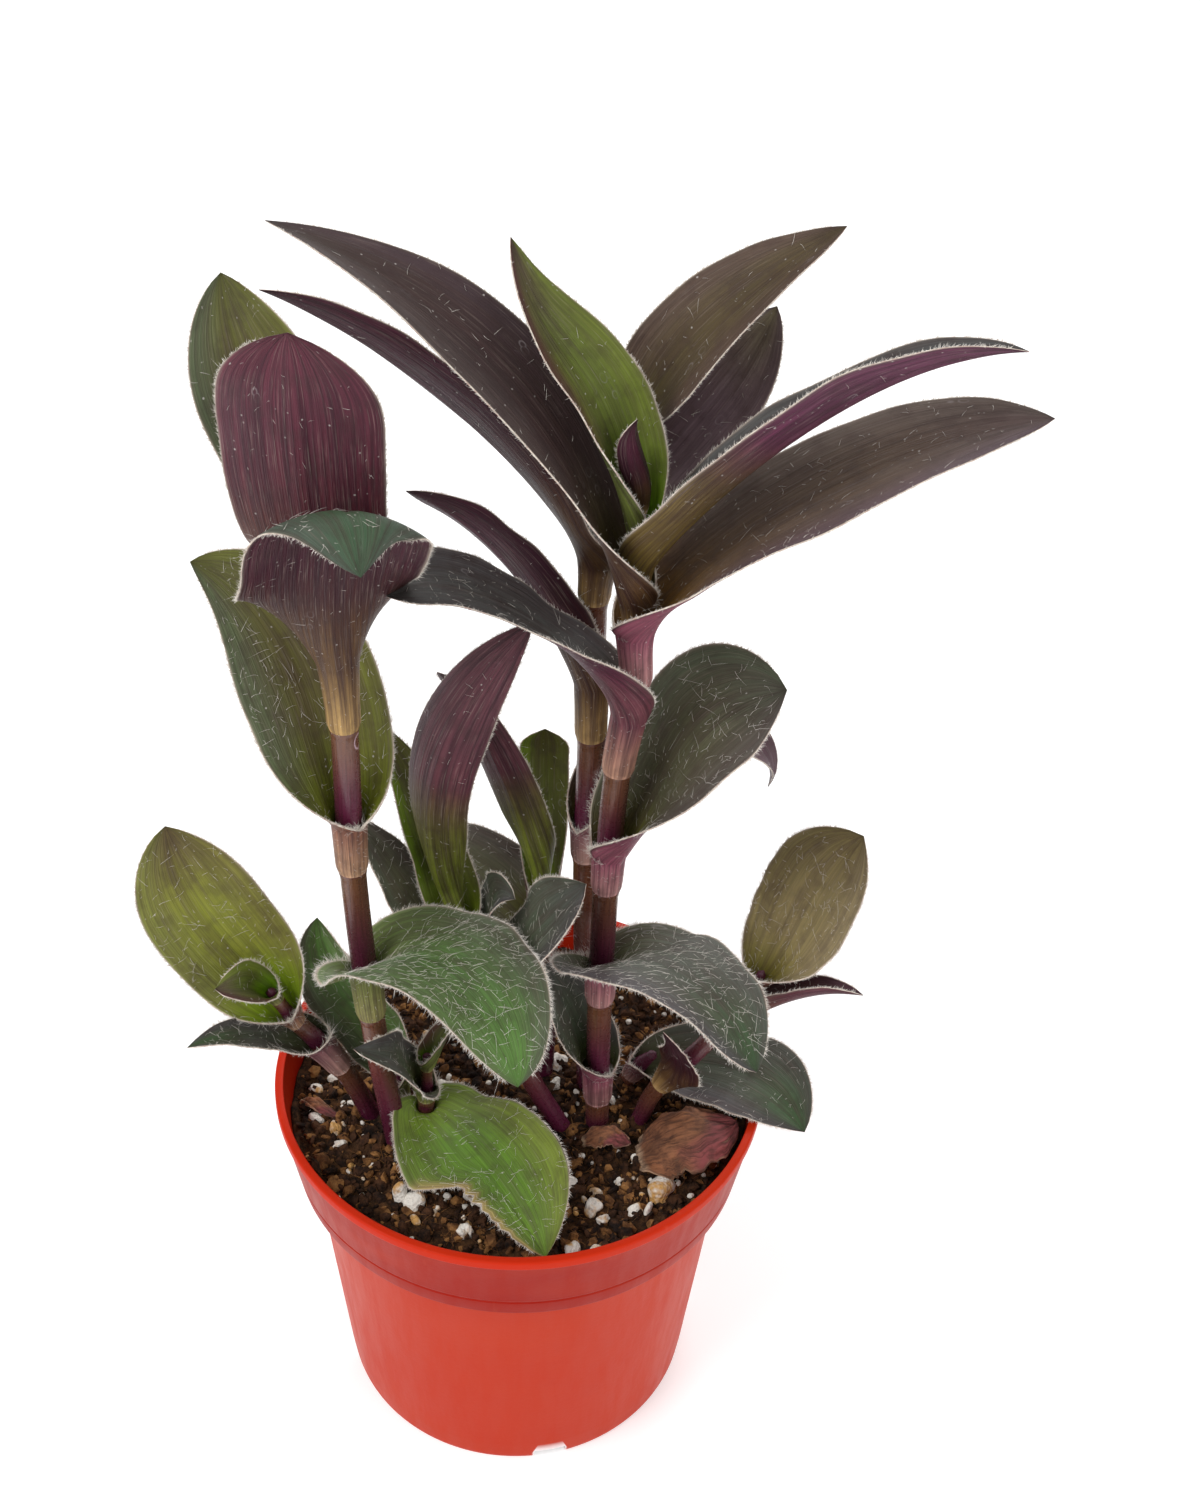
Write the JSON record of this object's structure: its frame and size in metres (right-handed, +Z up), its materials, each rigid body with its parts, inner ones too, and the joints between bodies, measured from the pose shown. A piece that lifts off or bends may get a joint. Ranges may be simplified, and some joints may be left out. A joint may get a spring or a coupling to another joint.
{
  "type": "potted tradescantia",
  "caption": "Upright leafy houseplant with dark olive and maroon leaves that clasp jointed stems, standing in soil in a round tapered nursery pot.",
  "frame": {"origin": "centre of the pot's flat bottom, in the plane that it stands on", "axes": "+Z up along the pot's axis, -Y towards the front of the plant as pictured, +X to the right"},
  "size_m": [0.17, 0.108, 0.2821],
  "materials": {
    "pot": "semi-matte terracotta-red nursery plastic",
    "soil": "rough dark peat with white and cream perlite",
    "stem": "glossy maroon-brown internodes",
    "leaf_grey": "grey-green, finely hairy, satin",
    "leaf_green": "green, finely hairy, satin",
    "leaf_olive": "olive-purple, satin, pale margin",
    "leaf_dark": "dark purple-brown, satin, pale margin",
    "leaf_maroon": "maroon ribbed underside, satin",
    "leaf_fresh": "fresh green with purple tips, satin",
    "leaf_dead": "dry brown, papery"
  },
  "bodies": {
    "root": {"pot": "pot", "soil": "soil", "stem_left": "stem", "stem_front": "stem", "stem_back": "stem", "stem_centre": "stem", "stem_rear": "stem", "stem_small": "stem", "stem_low": "stem", "stem_right": "stem", "stem_side": "stem", "stem_inner": "stem", "leaf_left_1": "leaf_grey", "leaf_left_2": "leaf_green", "leaf_left_3": "leaf_olive", "leaf_left_4": "leaf_grey", "leaf_left_5": "leaf_maroon", "leaf_left_6": "leaf_olive", "leaf_front_1": "leaf_grey", "leaf_front_2": "leaf_grey", "leaf_front_3": "leaf_grey", "leaf_front_4": "leaf_grey", "leaf_front_5": "leaf_olive", "leaf_front_6": "leaf_dark", "leaf_front_7": "leaf_maroon", "leaf_front_8": "leaf_fresh", "leaf_front_9": "leaf_fresh", "leaf_back_1": "leaf_grey", "leaf_back_2": "leaf_maroon", "leaf_back_3": "leaf_maroon", "leaf_back_4": "leaf_maroon", "leaf_back_5": "leaf_dark", "leaf_back_6": "leaf_olive", "leaf_centre_1": "leaf_olive", "leaf_centre_2": "leaf_dark", "leaf_centre_3": "leaf_grey", "leaf_centre_4": "leaf_olive", "leaf_centre_5": "leaf_maroon", "leaf_rear_1": "leaf_grey", "leaf_rear_2": "leaf_olive", "leaf_rear_3": "leaf_olive", "leaf_small_1": "leaf_green", "leaf_small_2": "leaf_green", "leaf_small_3": "leaf_fresh", "leaf_low_1": "leaf_grey", "leaf_low_2": "leaf_olive", "leaf_low_3": "leaf_fresh", "leaf_right_1": "leaf_maroon", "leaf_right_2": "leaf_maroon", "leaf_right_3": "leaf_olive", "leaf_dead_1": "leaf_dead", "leaf_dead_2": "leaf_dead", "leaf_dead_3": "leaf_maroon"}
  },
  "joints": []
}
